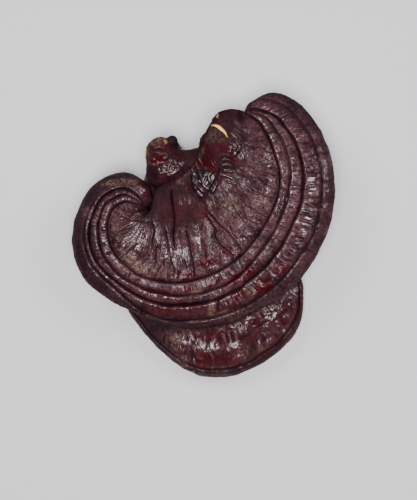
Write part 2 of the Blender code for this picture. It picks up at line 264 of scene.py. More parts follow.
LOWER_RED = (
    (26, -66, 26, 12, 12, 0.6), (16, -64, 9, 3.4, 4, 1), (36, -57, 7, 2.6, 38, 0.9),
    (16, -75, 14, 3.6, 3, 0.9), (40, -68, 9, 3, 40, 0.7), (50, -54, 3, 8, -10, 0.7), (56, -44, 2, 10, 0.6),
)
LOWER_DUST = (
    (-1.8, -65, 3.2, 3.6, -40, 0.9), (0.2, -76, 4.2, 2.4, -25, 0.9), (38, -68.5, 5, 2.5, 35, 0.3),
    (30, -71, 4, 2, 20, 0.5), (24, -82.2, 18, 0.9, 3, 0.45), (50, -67, 10, 0.9, 52, 0.45),
    (57.6, -47, 0.9, 12, 0.4),
)
# Painted shade: patches darkened where the upper cap lies in shadow, and black in the gap by the roll's tip
UPPER_SHADE = (
    (-48, -3, 17, 9, 8, 0.85), (-58, -25, 6, 24, 8, 0.9), (-46, -50, 22, 6, -42, 0.7),
    (33, 36, 20, 6, -35, 0.6), (-8, -64, 26, 4, 0.5), (14, 26, 5, 7, 20, 0.35), (-19, -5.5, 5, 3, -30, 0.5),
    (4.5, 11, 7, 5, 0.6), (-14, -58, 18, 3.4, 0.5), (4, -58.5, 14, 3.4, 6, 0.5), (-16, -12, 11, 8, 0.22),
    (-23.6, -9.6, 1.6, 4, 10, 0.9),
)
UPPER_GLOSS = (
    (-32, -24, 10, 9, 0.8), (-20, -31, 5, 7, 0.6), (-12, -34, 4.4, 6, 0.65), (-4.6, -27.5, 2.8, 3.6, 10, 0.6),
    (15.5, 13, 3.4, 5, 0.9), (10.5, 6, 5, 3, 0.7), (30.2, -3.5, 2.6, 5, 0.9), (28.5, 9, 3, 6, 0.6),
    (9.8, 11.2, 2.4, 1.6, 0.8), (2.3, 7.9, 5, 3.6, 15, 0.25), (38, -6, 4, 14, 0.9), (48, -8, 5, 24, -8, 0.9),
    (54.5, -4, 2.4, 20, 0.7), (-46, -24, 5, 12, 0.7), (-27.9, -5.4, 3, 4.6, 35, 0.95),
    (18, -26, 10, 6, 40, 0.35), (6, -40, 12, 3, 25, 0.35), (-9, -9, 4, 3, 0.22), (16, 0, 7, 4, 0.35),
    (30, 30, 12, 4, -30, 0.4), (15.4, 22.4, 2.6, 5.6, 12, 0.5), (22, -48, 16, 3, 28, 0.35),
)
# Painted shade: patches darkened where the lower cap lies in shadow
LOWER_SHADE = ((-20, -52, 12, 26, 25, 0.9), (-2, -78, 16, 5, -25, 0.5), (26, -62, 30, 14, 10, 0.22))
LOWER_GLOSS = (
    (4.5, -65.6, 5.4, 1.8, -12, 0.8), (14, -69.2, 5.4, 1.9, -4, 0.85), (26.4, -68.6, 3.6, 2, 12, 0.8),
    (40, -62.6, 6, 3.4, 40, 0.9), (33, -66.4, 4, 2, 25, 0.6), (50, -60, 3, 4.6, -40, 0.6),
    (23.5, -59.4, 5, 1.2, 18, 0.8), (32, -56.4, 2.6, 2, 40, 0.7), (43.6, -53, 5.4, 6.6, -25, 0.9),
    (51.6, -48, 3, 8, -15, 0.9), (20, -73.5, 16, 1.4, 4, 0.3), (20, -68.5, 18, 2.4, 2, 0.45),
    (42, -58, 9, 9, 0.45), (30, -59, 10, 2, 25, 0.45), (16, -80.5, 22, 2, 5, 0.5),
)

UPPER_MARKS = {
    "creases": UPPER_CREASES, "red": UPPER_RED, "dust": UPPER_DUST,
    "shade": UPPER_SHADE, "gloss": UPPER_GLOSS,
}
LOWER_MARKS = {
    "creases": LOWER_CREASES, "red": LOWER_RED, "dust": LOWER_DUST,
    "shade": LOWER_SHADE, "gloss": LOWER_GLOSS,
}

# The torn skin on the hump, showing pale flesh, in mm about the upper cap's centre: (half width, points)
TORN_SKIN = (
    (0.54, (2.6, 24.3), (5, 24), (7.4, 22.6), (9, 20.9), (10.4, 18.9)),
    (0.22, (6, 30.4), (5.6, 29.2), (5.4, 27.8)),
)

# The crumpled, glossy skin where the disc leaves the stem: (x, y, two radii, turn in degrees, strength)
CRUMPLED_SKIN = ((-0.2, -1.2, 5.6, 6.6, -12, 1),)

# Raised folds on that skin, and on the hump and the disc around it, in mm about the upper cap's centre
CRUMPLE_LINES = (
    ((-6.3, -1.8), (-5, -5), (-2.7, -7.2), (-0.5, -7.9), (1.4, -6.3)),
    ((-5.4, -0.5), (-3.2, -2.7), (-0.9, -5), (0.9, -4.5)), ((-5.6, 1.6), (-3.8, -0.4)),
    ((0.5, 2.7), (-0.9, 0), (-0.5, -2.7), (1.8, -4.1)), ((3.2, 3.6), (1.8, 1.4), (2.7, -1.4), (4.1, -3.2)),
    ((5, 1.8), (5.4, -0.9), (3.6, -5.2)), ((-3.2, 3.2), (-1.8, 1.4), (-2.7, -0.5)),
    ((-0.9, 5.4), (1.8, 4.8), (4, 5.4)),
)
HUMP_LINES = (
    ((13.6, 16.4), (14.3, 14.8)), ((13.1, 13.8), (14.2, 12.4), (13.9, 11.2)), ((15.7, 15.6), (16.3, 14.2)),
    ((15.3, 13), (16.4, 12.2), (16, 10.8)), ((17.3, 14.2), (17.7, 13)), ((16.9, 10.9), (17.5, 9.7)),
    ((7.6, 10.8), (9.9, 11.2), (11.7, 9.9)), ((8.1, 8.6), (10.4, 9), (12.6, 7.6)),
    ((11.2, 12.6), (12.2, 14.8)), ((8.6, 6.3), (11.2, 6.3), (13, 5)), ((9.4, 4), (12.2, 3.6)),
    ((7.6, 1.8), (10.8, 1.4), (13.5, 0)), ((10.4, -0.9), (14, -1.8)), ((-5.4, 10.4), (-3, 9.6), (-1.6, 7.6)),
    ((-6.2, 5), (-4.8, 2.8)), ((-4.4, 7), (-3.2, 5.2)), ((29, 14.6), (31.2, 13.8)),
    ((28.6, 12), (31.4, 11.4)), ((29, 9.4), (31.6, 9)), ((12, 21), (14.6, 18.6)),
)

# Stem: strands of overlapping lumps in mm, each from one centre and radius to another
STRANDS = (
    ((0, 0, -3), 8.4, (0.8, -1, 7), 7.4), ((0.8, -1, 7), 7.4, (-0.4, -0.8, 17), 7.6),
    ((-0.4, -0.8, 17), 7.6, (0.6, -3, 27), 7.4), ((-4, 2.6, 9.5), 4.2, (-3.2, 3.6, 13), 3.8),
    ((4.6, 4, 4.5), 4.4, (4.4, 3.4, 9.5), 3.6), ((0, 0.8, 30), 6.6, (0.6, -7.6, 29.6), 7.2),
    ((0.6, -7.6, 29.6), 7.2, (6, -6.4, 30), 6.6), ((-0.6, -6, 30), 6, (-1.4, -10.4, 29.6), 5.2),
    ((4, 3, 26), 4.4, (5.2, 5.4, 31.4), 2.7), ((3, -5, 27), 7.4, (11.5, -3.6, 29.8), 5.4),
    ((11.5, -3.6, 29.8), 5.4, (18.4, -3.2, 30.2), 5.8), ((2, -4, 18), 8.2, (17, -13, 21), 9),
    ((2, -4, 10), 8, (9, -19, 9), 7.6), ((0, -8, 20.5), 7, (-4.2, -20, 20), 6.2),
)
LUMP_SPACING = 1.5
STEM_VOXEL = 0.45

# The stub's top, in mm: (x, y, two radii, any turn in degrees, height or strength), and raised folds
STUB_SWELLINGS = (
    (0.7, -0.7, 5.4, 1.8, -6, 1), (1.2, 2, 4, 1, -0.7), (-0.6, -4.4, 4, 1.6, 8, -0.8),
    (-1.6, 5.2, 4, 1.6, 20, 0.5), (-3.4, -8.6, 2.2, 3, -0.3), (12, -1, 4, 3, -0.5),
)
STUB_CRUMPLES = ((6, -7.6, 5, 4.4, 1), (1.2, -7.8, 2, 2.4, 1))
STUB_LINES = (
    ((0.2, -6.4), (1.4, -7.8), (2.6, -9.4)), ((-0.2, -9.2), (0.9, -9.8)),
    ((1.6, -3.4), (4.2, -2.2), (5.4, -4.6), (4.4, -7.6)), ((5.4, -6.6), (7.8, -6), (9.4, -7.6)),
    ((3.6, -10.6), (6, -9.6), (8.2, -8.4)), ((3.2, -8.8), (5.8, -8.2)), ((2.2, -5.6), (3.4, -4.8)),
    ((6.6, -3.6), (7.4, -5.4)), ((-4.8, -3), (-3.2, -3.4)),
)
STUB_RED = ((1.6, 1.9, 4.2, 1.1, 0.9), (-0.8, -4.4, 3.8, 1.8, 8, 0.9), (-3, -8.6, 1.8, 3, 0.35))
STUB_DARK = ((-3, -9.8, 3, 4, 0.9), (6, 4.6, 3, 4.4, 0.9), (12, -2, 6, 4, 0.5))
STUB_DUST = ((-1.8, 5.2, 4, 2, 25, 0.6), (-5.8, 0, 1.4, 3.4, 0.5))
STUB_CHIPS = ((2.2, 4.9, 0.8, 1.1, 20, 0.24), (-6.6, 0.4, 0.6, 1.6, 0.3))
STUB_GLOSS = (
    (-0.8, -4.4, 3.8, 1.8, 8, 0.5), (1.6, 1.9, 4.2, 1.1, 0.5), (-2.8, -1.4, 0.8, 0.8, 0.9),
    (0.7, -0.7, 5.4, 1.8, -6, 0.25),
)


def noise(seed, size, *place):
    """Smooth noise from -1 to 1 with lumps of the given size, in as many directions as are given."""
    cells = [np.floor(p / size).astype(np.int64) for p in place]
    shares = [p / size - cell for p, cell in zip(place, cells)]
    shares = [share * share * (3 - 2 * share) for share in shares]
    total = 0
    for corner in itertools.product((0, 1), repeat=len(place)):
        mixed = seed * SEED_SPREAD
        weight = 1
        for cell, share, side, spread in zip(cells, shares, corner, PLACE_SPREADS):
            mixed = mixed + (cell + side) * spread
            weight = weight * (share if side else 1 - share)
        mixed = mixed & 0xFFFFFFFF
        mixed = ((mixed ^ (mixed >> 13)) * STEP_SPREAD) & 0xFFFFFFFF
        total = total + weight * (((mixed ^ (mixed >> 16)) & 0xFFFF) / 32767.5 - 1)
    return total


def folds(seed, size, *place):
    """Rounded folds of height 1 between sharp narrow valleys of height 0."""
    mixed = 0.68 * noise(seed, size, *place) + 0.32 * noise(seed + 1, 0.47 * size, *place)
    return np.minimum(1, 2.2 * np.abs(mixed)) ** 0.6


def bell(away, wide, power=2):
    """1 where away is 0, falling to nearly 0 at twice the width."""
    return np.exp(-((away / wide) ** power))


def ramp(low, high, x):
    """Rises smoothly from 0 where x is low to 1 where it is high."""
    share = np.clip((x - low) / (high - low), 0, 1)
    return share * share * (3 - 2 * share)


def curve_through(values, at):
    """Points on a smooth curve through the given ones. at counts stations, from 0."""
    values = np.asarray(values, float)
    last = len(values) - 1
    low = np.clip(np.floor(at).astype(int), 0, last - 1)
    f = (at - low).reshape(-1, *[1] * (values.ndim - 1))
    padded = np.concatenate([[2 * values[0] - values[1]], values, [2 * values[-1] - values[-2]]])
    a, b, c, d = (padded[low + k] for k in range(4))
    return 0.5 * (2 * b + (c - a) * f + (2 * a - 5 * b + 4 * c - d) * f**2 + (3 * b - a - 3 * c + d) * f**3)


def even_stations(margin, columns):
    """Station numbers that part the margin into equal lengths, and the length in mm at each."""
    fine = np.linspace(0, len(margin) - 1, RAIL_STEPS * len(margin))
    steps = np.linalg.norm(np.diff(curve_through(margin, fine), axis=0), axis=1)
    run = np.concatenate([[0], np.cumsum(steps)])
    along = np.linspace(0, run[-1], columns)
    return np.interp(along, run, fine), along


def distance_to(points, x, y):
    """Distance in mm from each x, y to a smooth line through the points."""
    stations = np.linspace(0, len(points) - 1, LINE_STEPS * len(points))
    nearest = np.full(x.shape, np.inf)
    for px, py in curve_through(points, stations):
        nearest = np.minimum(nearest, (x - px) ** 2 + (y - py) ** 2)
    return np.sqrt(nearest)


def oval(x, y, middle_x, middle_y, radius, other_radius, turn_deg=0):
    """Distance from the middle of an oval, 1 on its edge."""
    c, s = math.cos(math.radians(turn_deg)), math.sin(math.radians(turn_deg))
    dx, dy = x - middle_x, y - middle_y
    return np.hypot((dx * c + dy * s) / radius, (dy * c - dx * s) / other_radius)


def cover(spots, x, y, outer=1.2, inner=0.8, ragged=0):
    """How strongly the spots cover each place, fading between their outer and inner edges."""
    covered = np.zeros_like(x)
    for *spot, strength in spots:
        covered = np.maximum(covered, strength * ramp(outer, inner, oval(x, y, *spot) + ragged))
    return covered


def patches(spots, x, y, seed):
    """How strongly the spots cover each place, with ragged edges."""
    return cover(spots, x, y, 1.4, 0.5, 0.3 * noise(seed, 2.2, x, y) + 0.2 * noise(seed + 1, 0.9, x, y))


def domes(spots, x, y):
    """Height of low domes over the spots."""
    height = np.zeros_like(x)
    for *spot, high in spots:
        height += high * bell(oval(x, y, *spot), 1)
    return height


def fullness(wide):
    """How much of its full height a ridge of that width in mm has."""
    return np.minimum(1, wide / FULL_RIDGE_WIDTH)


class CapGrid:
    """A cap's section loops as one grid of points: columns along the rim, rows round the section.

    The parts are the whole cap, its body with a bed for the disc's skin, and the disc's skin alone.
    share runs over a band from 0 to 1. groove is up to 1 in a furrow, and crest on the edge beside it.
    along and out are lengths in mm on the band's outer furrow and on the spoke.
    """

    def __init__(self, cap, part):
        self.cap, self.part = cap, part
        at, self.run = even_stations(cap["margin"], cap["columns"])
        names = ("back", "furrow", "margin", "rings", "back_top", "margin_level")
        rails = [curve_through(cap[name], at) for name in names]
        self.back, self.furrow, self.margin, rings, self.back_top, self.level = rails
        self.floor = np.minimum(cap["belly"][-1][1], self.back_top - LEAST_WALL)
        wobble = [0.012 * noise(40 + k, 7, self.run) for k in range(3)]
        self.shares = np.column_stack([self.run * 0, rings + np.column_stack(wobble), self.run * 0 + 1])
        self.strengths = curve_through(cap["groove_strengths"], at).T
        self.reach = np.linalg.norm(self.furrow - self.back, axis=1)
        self.width = np.linalg.norm(self.margin - self.furrow, axis=1)
        self.rows = []
        if part != "disc":
            self.add_wall()
        if part == "body":
            self.add_hidden(np.linspace(0.03, 0.985, 8), BED_DEPTH)
        else:
            self.add_disc()
        if part == "disc":
            self.add_hidden(np.linspace(0.985, 0, 8), SKIN_DEPTH)
        else:
            self.add_ridges()
            self.add_lip()
            self.add_belly()
        places, bands, shares, *fields = zip(*self.rows)
        self.place, self.band, self.share = np.stack(places, axis=1), np.array(bands), np.array(shares)
        self.way, self.groove, self.crest = (np.stack(field, axis=1) for field in fields)
        self.along = np.stack([self.run_along(band) for band in self.band], axis=1)
        inner, outer = np.minimum(self.way, 1), np.maximum(self.way - 1, 0)
        self.out = inner * self.reach[:, None] + outer * self.width[:, None]
        self.x, self.y = self.place[..., 0].copy(), self.place[..., 1].copy()
        kinds = (self.band < BELOW, self.band == DISC, self.band == BELOW, self.band == WALL)
        self.top, self.disc, self.below, self.wall = (kind * np.ones_like(self.x) for kind in kinds)
        self.taper_tips()

    def run_along(self, band):
        """Length in mm at each column, along the furrow that ends the band."""
        rail = self.spoke(1 + self.shares[:, min(band, LIP)])
        return np.concatenate([[0], np.cumsum(np.linalg.norm(np.diff(rail, axis=0), axis=1))])

    def spoke(self, way):
        """Each spoke's point at way: 0 at the back, 1 on the first furrow and 2 at the margin."""
        way = np.broadcast_to(way, self.run.shape)[:, None] + 0.0
        bend = self.furrow - 0.6 * (self.margin - self.furrow)
        inner = (1 - way) ** 2 * self.back + 2 * way * (1 - way) * bend + way**2 * self.furrow
        return np.where(way <= 1, inner, self.furrow + (way - 1) * (self.margin - self.furrow))

    def add_row(self, way, height, band, share, groove=0.0, crest=0.0):
        height, *fields = (np.broadcast_to(v, self.run.shape) for v in (height, way, groove, crest))
        self.rows.append((np.column_stack([self.spoke(way), height]), band, share, *fields))

    def groove_shape(self, number, away):
        """The cross-section of a furrow: its strength on its line, and 0 away from it."""
        return self.strengths[number] * bell(away, self.cap["groove_widths"][number], 1.5)

    def add_wall(self):
        """The wall where the cap meets the stem, from the underside up."""
        body = self.part == "body"
        high = self.back_top - (BED_DEPTH if body else 0)
        for share in np.linspace(0.08, 1 if body else 0.88, 12):
            bulge = 0.025 * (1 - share) - 0.02 * math.sin(math.pi * share)
            self.add_row(bulge, self.floor + share * (high - self.floor), WALL, share)

    def add_hidden(self, ways, depth):
        """The unseen faces between the disc's skin and the body."""
        for way in ways:
            self.add_row(way, self.back_top * (1 - way) ** 1.4 - depth, HIDDEN, way)

    def add_disc(self):
        rows = 92 if self.part == "disc" else 50
        shares = (np.linspace(0.012, 0.08, 7), np.linspace(0.09, 0.94, rows), np.linspace(0.95, 1, 11))
        depth = fullness(self.shares[:, 1] * self.width) * self.cap["groove_depths"][0]
        for share in np.concatenate(shares):
            from_back, to_furrow = share * self.reach, (1 - share) * self.reach
            shoulder = 2.2 * (1 - np.sqrt(np.clip(from_back / 2.2, 0, 1)))
            fall = 0.6 * bell(to_furrow, 2.4, 1)
            groove = self.groove_shape(0, to_furrow)
            height = self.back_top * (1 - share) ** 1.4 - shoulder - fall
            height = height + (self.cap["beds"][0] + fall) * bell(to_furrow, 1.1)
            self.add_row(share, height - depth * groove, DISC, share, groove)

    def add_ridges(self):
        beds, crests, depths = (self.cap[name] for name in ("beds", "crests", "groove_depths"))
        for band, rows in ((1, 14), (2, 15), (3, 18)):
            spread = self.shares[:, band] - self.shares[:, band - 1]
            wide = spread * self.width
            size = fullness(wide)
            uneven = 1 + 0.2 * noise(50 + band, 5, self.run) + 0.1 * noise(54 + band, 1.4, self.run)
            for step in range(0 if band == 1 else 1, rows + 1):
                share = min(1, step / rows - 0.1 * math.sin(2 * math.pi * step / rows))
                inner, outer = share * wide, (1 - share) * wide
                rise = 1 - 0.87 * bell(inner, 0.38, 1.5) - 0.13 * bell(inner, 1.2)
                fall = 1 - max(0, (share - 0.3) / 0.7) ** 5
                bed = curve_through(beds, np.array([band - 1 + share]))[0]
                grooves = self.groove_shape(band - 1, inner), self.groove_shape(band, outer)
                crest = self.strengths[band - 1] * bell(inner - 1.1, 0.6)
                cut = size * (depths[band - 1] * grooves[0] + depths[band] * grooves[1])
                height = bed + crests[band - 1] * size * uneven * rise * fall - cut + 0.05 * size * crest
                way = 1 + self.shares[:, band - 1] + share * spread
                self.add_row(way, height, band, share, np.maximum(*grooves), crest)

    def add_lip(self):
        """The outer lip, rolling over from the last furrow to the margin."""
        spread = 1 - self.shares[:, 3]
        wide = spread * self.width
        size = fullness(wide)
        rows = 18
        for step in range(1, rows + 1):
            turn = math.pi / 2 * (step / rows) ** 0.9
            inner = math.sin(turn) * wide
            groove = self.groove_shape(3, inner)
            crest = self.strengths[3] * bell(inner - 0.9, 0.4)
            brow = self.cap["beds"][3] + 1.1 * size * (1 - bell(inner, 0.42, 1.5))
            brow = brow + 0.1 * size * crest - size * self.cap["groove_depths"][3] * groove
            height = self.level + (brow - self.level) * math.cos(turn)
            way = 1 + self.shares[:, 3] + math.sin(turn) * spread
            self.add_row(way, height, LIP, math.sin(turn), groove, crest)

    def belly_height(self, way):
        ways, heights = zip(*reversed(self.cap["belly"]))
        deeper = (self.floor - heights[0]) * ramp(0.35, 0.03, way)
        return np.interp([way - 0.02, way, way + 0.02], ways, heights).mean() + deeper

    def add_belly(self):
        for angle in (12, 26, 40, 56, 72, 90):
            turn = math.radians(angle)
            way = 2 - 0.12 * (1 - math.cos(turn)) - 0.02 * math.sin(turn)
            height = self.level + (self.belly_height(way) - self.level) * math.sin(turn)
            self.add_row(way, height, BELOW, 2 - way)
        for way in (*np.linspace(1.8, 0.4, 17), 0.34, 0.28, 0.23, 0.18, 0.14, 0.11, 0.08, 0.05):
            self.add_row(way, self.belly_height(way), BELOW, 2 - way)

    def from_tip(self):
        """Length in mm along the margin from each column to the nearer end of the cap."""
        return np.minimum(self.run, self.run[-1] - self.run)[:, None]

    def from_furrow(self):
        return np.abs(self.out - self.reach[:, None])

    def taper_tips(self):
        """Thins the cap towards both ends, as the solid cap is."""
        keep = 0.45 + 0.55 * np.sin(math.pi / 2 * np.minimum(1, self.from_tip() / TIP_REACH))
        middle = (self.back_top + self.level + self.belly_height(1))[:, None] / 3
        self.place[..., 2] = middle + keep * (self.place[..., 2] - middle)

    def normals(self):
        across = np.gradient(self.place, axis=0)
        around = np.roll(self.place, -1, axis=1) - np.roll(self.place, 1, axis=1)
        normal = np.cross(around, across)
        normal /= np.maximum(np.linalg.norm(normal, axis=2, keepdims=True), 1e-9)
        return normal if normal[:, self.band < BELOW, 2].sum() > 0 else -normal


def skin_relief(grid):
    """Height of the skin's wrinkles, which fade towards the stem, and the painted shade in their hollows."""
    cap, scale = grid.cap, grid.cap["wrinkle_scale"]
    place = grid.x, grid.y
    relief, valley_shade = np.zeros_like(grid.x), np.zeros_like(grid.x)
    patchy = 0.75 + 0.4 * noise(3, 9, *place)
    smooth = cover(cap["smooth"], *place)
    for band, (pitch, length) in enumerate(WRINKLE_SIZES):
        rows = grid.band == band
        along, out, *spot = (field[:, rows] for field in (grid.along, grid.out, *place))
        inside = grid.share[rows][None, :]
        if band == DISC:
            strength = ramp(0.2, 0.75, inside)
        elif band == LIP:
            strength = 0.35 + 0.65 * (1 - inside)
        else:
            strength = np.sin(math.pi * np.clip(inside, 0.03, 0.97)) ** 0.9
        along = along + 1.3 * noise(60 + band, 5, *spot)
        coarse = folds(10 * band, 1, along / (pitch * scale), out / (length * scale**3)) - 1
        fine = folds(10 * band + 5, 1, 2.1 * along / (pitch * scale), 2.2 * out / (length * scale**3)) - 1
        cracked = bell(noise(10 * band + 7, 1, along / 2.2, out / 2.6), 0.12)
        wrinkle = coarse + 0.5 * fine - 0.3 * cracked
        relief[:, rows] = cap["wrinkle_depths"][band] * patchy[:, rows] * strength * wrinkle
        # Painted shade in each wrinkle's hollow, deeper than dark_below
        valley_shade[:, rows] = strength * ramp(0, -0.45, wrinkle - cap["dark_below"])
    relief *= (1 - smooth) * (1 + cover(cap["deep"], *place))
    leather = 0.1 * (folds(5, 1.7, *place) - 1) + 0.05 * noise(6, 0.8, *place)
    return relief + leather + 0.25 * noise(7, 4.5, *place), valley_shade * (1 - smooth)


def crease_relief(creases, x, y):
    """Height of the cracks at each place, and the painted shade in them."""
    relief, shade = np.zeros_like(x), np.zeros_like(x)
    wander_x = x + 0.22 * noise(71, 1.5, x, y) + 0.35 * noise(73, 4.5, x, y)
    wander_y = y + 0.22 * noise(72, 1.5, x, y) + 0.35 * noise(74, 4.5, x, y)
    for depth, half_width, *points in creases:
        away = distance_to(points, wander_x, wander_y)
        cut = bell(away, half_width, 1.6)
        lips = bell(away - 2.2 * half_width, 1.3 * half_width)
        relief += 0.2 * depth * lips - depth * cut
        shade = np.maximum(shade, cut * min(1, depth))
    return relief, shade


def raised_lines(lines, x, y, half_width, seed):
    """Height, 0 to 1, of rounded folds along the lines."""
    bent_x = x + 0.25 * noise(seed, 2.2, x, y)
    bent_y = y + 0.25 * noise(seed + 1, 2.2, x, y)
    away = np.full(x.shape, np.inf)
    for line in lines:
        away = np.minimum(away, distance_to(line, bent_x, bent_y))
    return bell(away, half_width, 4)


def disc_skin(grid):
    """How far the disc's skin is crumpled, raised in folds and torn to the flesh, at each place."""
    x, y = grid.x, grid.y
    crumpled = cover(CRUMPLED_SKIN, x, y, 1.12, 0.86, 0.1 * noise(85, 2, x, y))
    torn = np.zeros_like(x)
    for half_width, *points in TORN_SKIN:
        half_length = 0.5 * math.dist(points[0], points[-1])
        away = distance_to(points, x + 0.3 * noise(91, 1, x, y), y + 0.25 * noise(92, 1.4, x, y))
        wide = half_width * (1 - 0.95 * oval(x, y, *points[len(points) // 2], half_length, half_length) ** 2)
        torn = np.maximum(torn, ramp(0.2, -0.2, away - wide))
    return grid.disc * np.array([crumpled, raised_lines(HUMP_LINES, x, y, 0.5, 96), torn])


def cap_shape(grid, creases):
    """The grid's places with all relief, the painted shade in its hollows, and what disc_skin gives."""
    x, y, z = grid.x, grid.y, grid.place[..., 2]
    z += grid.disc * ramp(0, 2.5, grid.from_furrow()) * domes(grid.cap["swellings"], x, y)
    relief, valley_shade = skin_relief(grid)
    cracks, crack_shade = crease_relief(creases, x, y)
    skin = disc_skin(grid) if grid.part == "disc" else np.zeros((3, *x.shape))
    crumpled, folded, torn = skin
    crumple = 0.6 * raised_lines(CRUMPLE_LINES, x, y, 0.6, 86) + 0.2 * noise(88, 3, x, y) - 0.35
    relief = (relief + 0.4 * folded) * (1 - crumpled) + crumpled * crumple - 0.35 * torn
    ribs = folds(11, 1, grid.run[:, None] / 3 + 0 * x, z / 8) - 1
    lumps = 0.9 * noise(9, 6, x, y, z) + 0.5 * ribs
    flank = grid.wall + grid.below * ramp(0.36, 0.12, grid.way)
    relief = grid.top * (relief + cracks) + (1 - grid.top) * 0.12 * noise(8, 1.6, x, y) + flank * lumps
    if grid.part != "whole":
        relief *= ramp(0, 0.9, grid.from_furrow())
    place = grid.place + relief[..., None] * grid.normals()
    for axis in (0, 1):
        place[..., axis] += 0.15 * ramp(0.1, 0.4, grid.way) * noise(31 + axis, 6, x, y)
    place[..., 2] = np.maximum(place[..., 2], -grid.cap["centre"][2])
    # Painted shade: in the hollows of the crumpled skin, along the disc's back edge, and in furrows, cracks
    # and wrinkle hollows
    pit_shade = 0.9 * crumpled * ramp(0.1, -0.3, crumple)
    edge = 0.8 * grid.disc * ramp(0.05, 0.01, grid.way)
    hollow_shade = grid.top * np.maximum.reduce([0.95 * grid.groove, crack_shade, 0.85 * valley_shade, pit_shade, edge])
    return place, hollow_shade, skin


def cap_looks(grid, marks, hollow_shade, skin):
    """The fields to paint on a cap."""
    x, y, way, crust = grid.x, grid.y, grid.way, grid.top + grid.wall
    seeds = {"red": 21, "dust": 23, "shade": 25, "gloss": 27}
    marked = {kind: grid.top * patches(marks[kind], x, y, seed) for kind, seed in seeds.items()}
    crumpled, folded, torn = skin
    plain = grid.top * grid.cap["sheen"] * (1 - cover(grid.cap["smooth"], x, y)) ** 2
    blotches = noise(28, 1, grid.along / 1.5, grid.out / (6 * grid.cap["wrinkle_scale"]**2))
    blotches = 0.18 + 0.82 * ramp(-0.4, 0.2, blotches)
    beads = 0.2 + 0.8 * ramp(-0.3, 0.3, noise(33, 1, grid.along / 1.1, grid.out / 1.5))
    glossy = np.maximum(marked["gloss"], plain) * blotches
    pores = ramp(0.1, 0.2, way + 0.05 * noise(12, 3, x, y)) * ramp(1.93, 1.86, way)
    # Painted shade: the lip and the underside grow darker towards the margin
    margin = 0.55 * ramp(1.55, 2, way) * (crust + grid.below)
    return {
        "cork": 0 * x,
        "hollow_shade": hollow_shade,
        "dust": marked["dust"],
        "gloss": np.maximum.reduce([glossy, crumpled, 0.9 * folded, grid.crest * beads]),
        "pores": grid.below * pores * ramp(3, 7, grid.from_tip() + 1.5 * noise(13, 2.5, x, y)),
        "red": marked["red"],
        # rim: painted shade towards the margin and in the shade patches, with less of it on the crest lines
        "rim": np.maximum(margin, marked["shade"] * (1 - 0.8 * grid.crest)),
        "stem_side": crust * ramp(0.85, 0.15, way),
        "torn": torn,
    }


def paint(data, looks, growth):
    """Stores the painted fields, three to a colour, and the lengths that the fine grain follows."""
    for start in range(0, len(FIELDS), 3):
        colours = np.ones((len(data.vertices), 4), np.float32)
        for k, name in enumerate(FIELDS[start:start + 3]):
            colours[:, k] = np.clip(looks[name], 0, 1)
        layer = data.color_attributes.new("looks_%d" % (start // 3), "FLOAT_COLOR", "POINT")
        layer.data.foreach_set("color", colours.ravel())
    layer = data.attributes.new("growth", "FLOAT_VECTOR", "POINT")
    layer.data.foreach_set("vector", growth.astype(np.float32).ravel())
    data.shade_smooth()


def new_object(name, data):
    made = bpy.data.objects.new(name, data)
    bpy.context.collection.objects.link(made)
    return made


def grid_mesh(name, places, cap):
    """A closed skin through a grid of places in mm, turned and moved to where the cap is."""
    columns, rows = places.shape[:2]
    i, j = np.meshgrid(np.arange(columns - 1), np.arange(rows), indexing="ij")
    k = (j + 1) % rows
    quads = np.stack([i * rows + j, i * rows + k, (i + 1) * rows + k, (i + 1) * rows + j], axis=-1)
    turn = np.array(Euler([math.radians(angle) for angle in cap["tilt_deg"]]).to_matrix())
    spots = places.reshape(-1, 3) @ turn.T + cap["centre"]
    data = bpy.data.meshes.new(name)
    data.from_pydata((spots * MM).tolist(), [], quads.reshape(-1, 4).tolist())
    mesh = bmesh.new()
    mesh.from_mesh(data)
    mesh.verts.ensure_lookup_table()
    tips = [[mesh.verts[column * rows + j] for j in range(rows)] for column in (0, columns - 1)]
    bmesh.ops.poke(mesh, faces=[mesh.faces.new(tip) for tip in tips])
    bmesh.ops.recalc_face_normals(mesh, faces=mesh.faces)
    mesh.to_mesh(data)
    mesh.free()
    return data


def dome_columns(places):
    """Columns that close both ends of a cap, each a copy of the last section drawn in to its middle."""
    domes = []
    for end, inner in ((0, 3), (-1, -4)):
        middle = places[end].mean(axis=0)
        outward = middle - places[inner].mean(axis=0)
        outward /= np.linalg.norm(outward)
        dome = []
        for angle in DOME_ANGLES:
            turn = math.radians(angle)
            dome.append(middle + (places[end] - middle) * math.cos(turn) + 1.3 * math.sin(turn) * outward)
        domes.append(dome)
    return np.concatenate([domes[0][::-1], places, domes[1]])


def for_all_columns(field):
    """A field's values for the cap's own columns, its domes and the two points that close the tips."""
    times = len(DOME_ANGLES)
    field = np.concatenate([np.repeat(field[:1], times, axis=0), field, np.repeat(field[-1:], times, axis=0)])
    field = field.reshape(-1, *field.shape[2:])
    return np.concatenate([field, np.zeros((2, *field.shape[1:]))])


def cap_piece(name, cap, part, marks):
    """One cap, or one part of it. marks: its creases and its patches of red, dust, shade and gloss."""
    grid = CapGrid(cap, part)
    place, hollow_shade, skin = cap_shape(grid, marks["creases"])
    looks = cap_looks(grid, marks, hollow_shade, skin)
    growth = np.stack([grid.along, grid.out, 9 * grid.band[None, :] + 0 * grid.x], axis=-1)
    data = grid_mesh(name, dome_columns(place), cap)
    paint(data, {field: for_all_columns(values) for field, values in looks.items()}, for_all_columns(growth))
    return new_object(name, data)


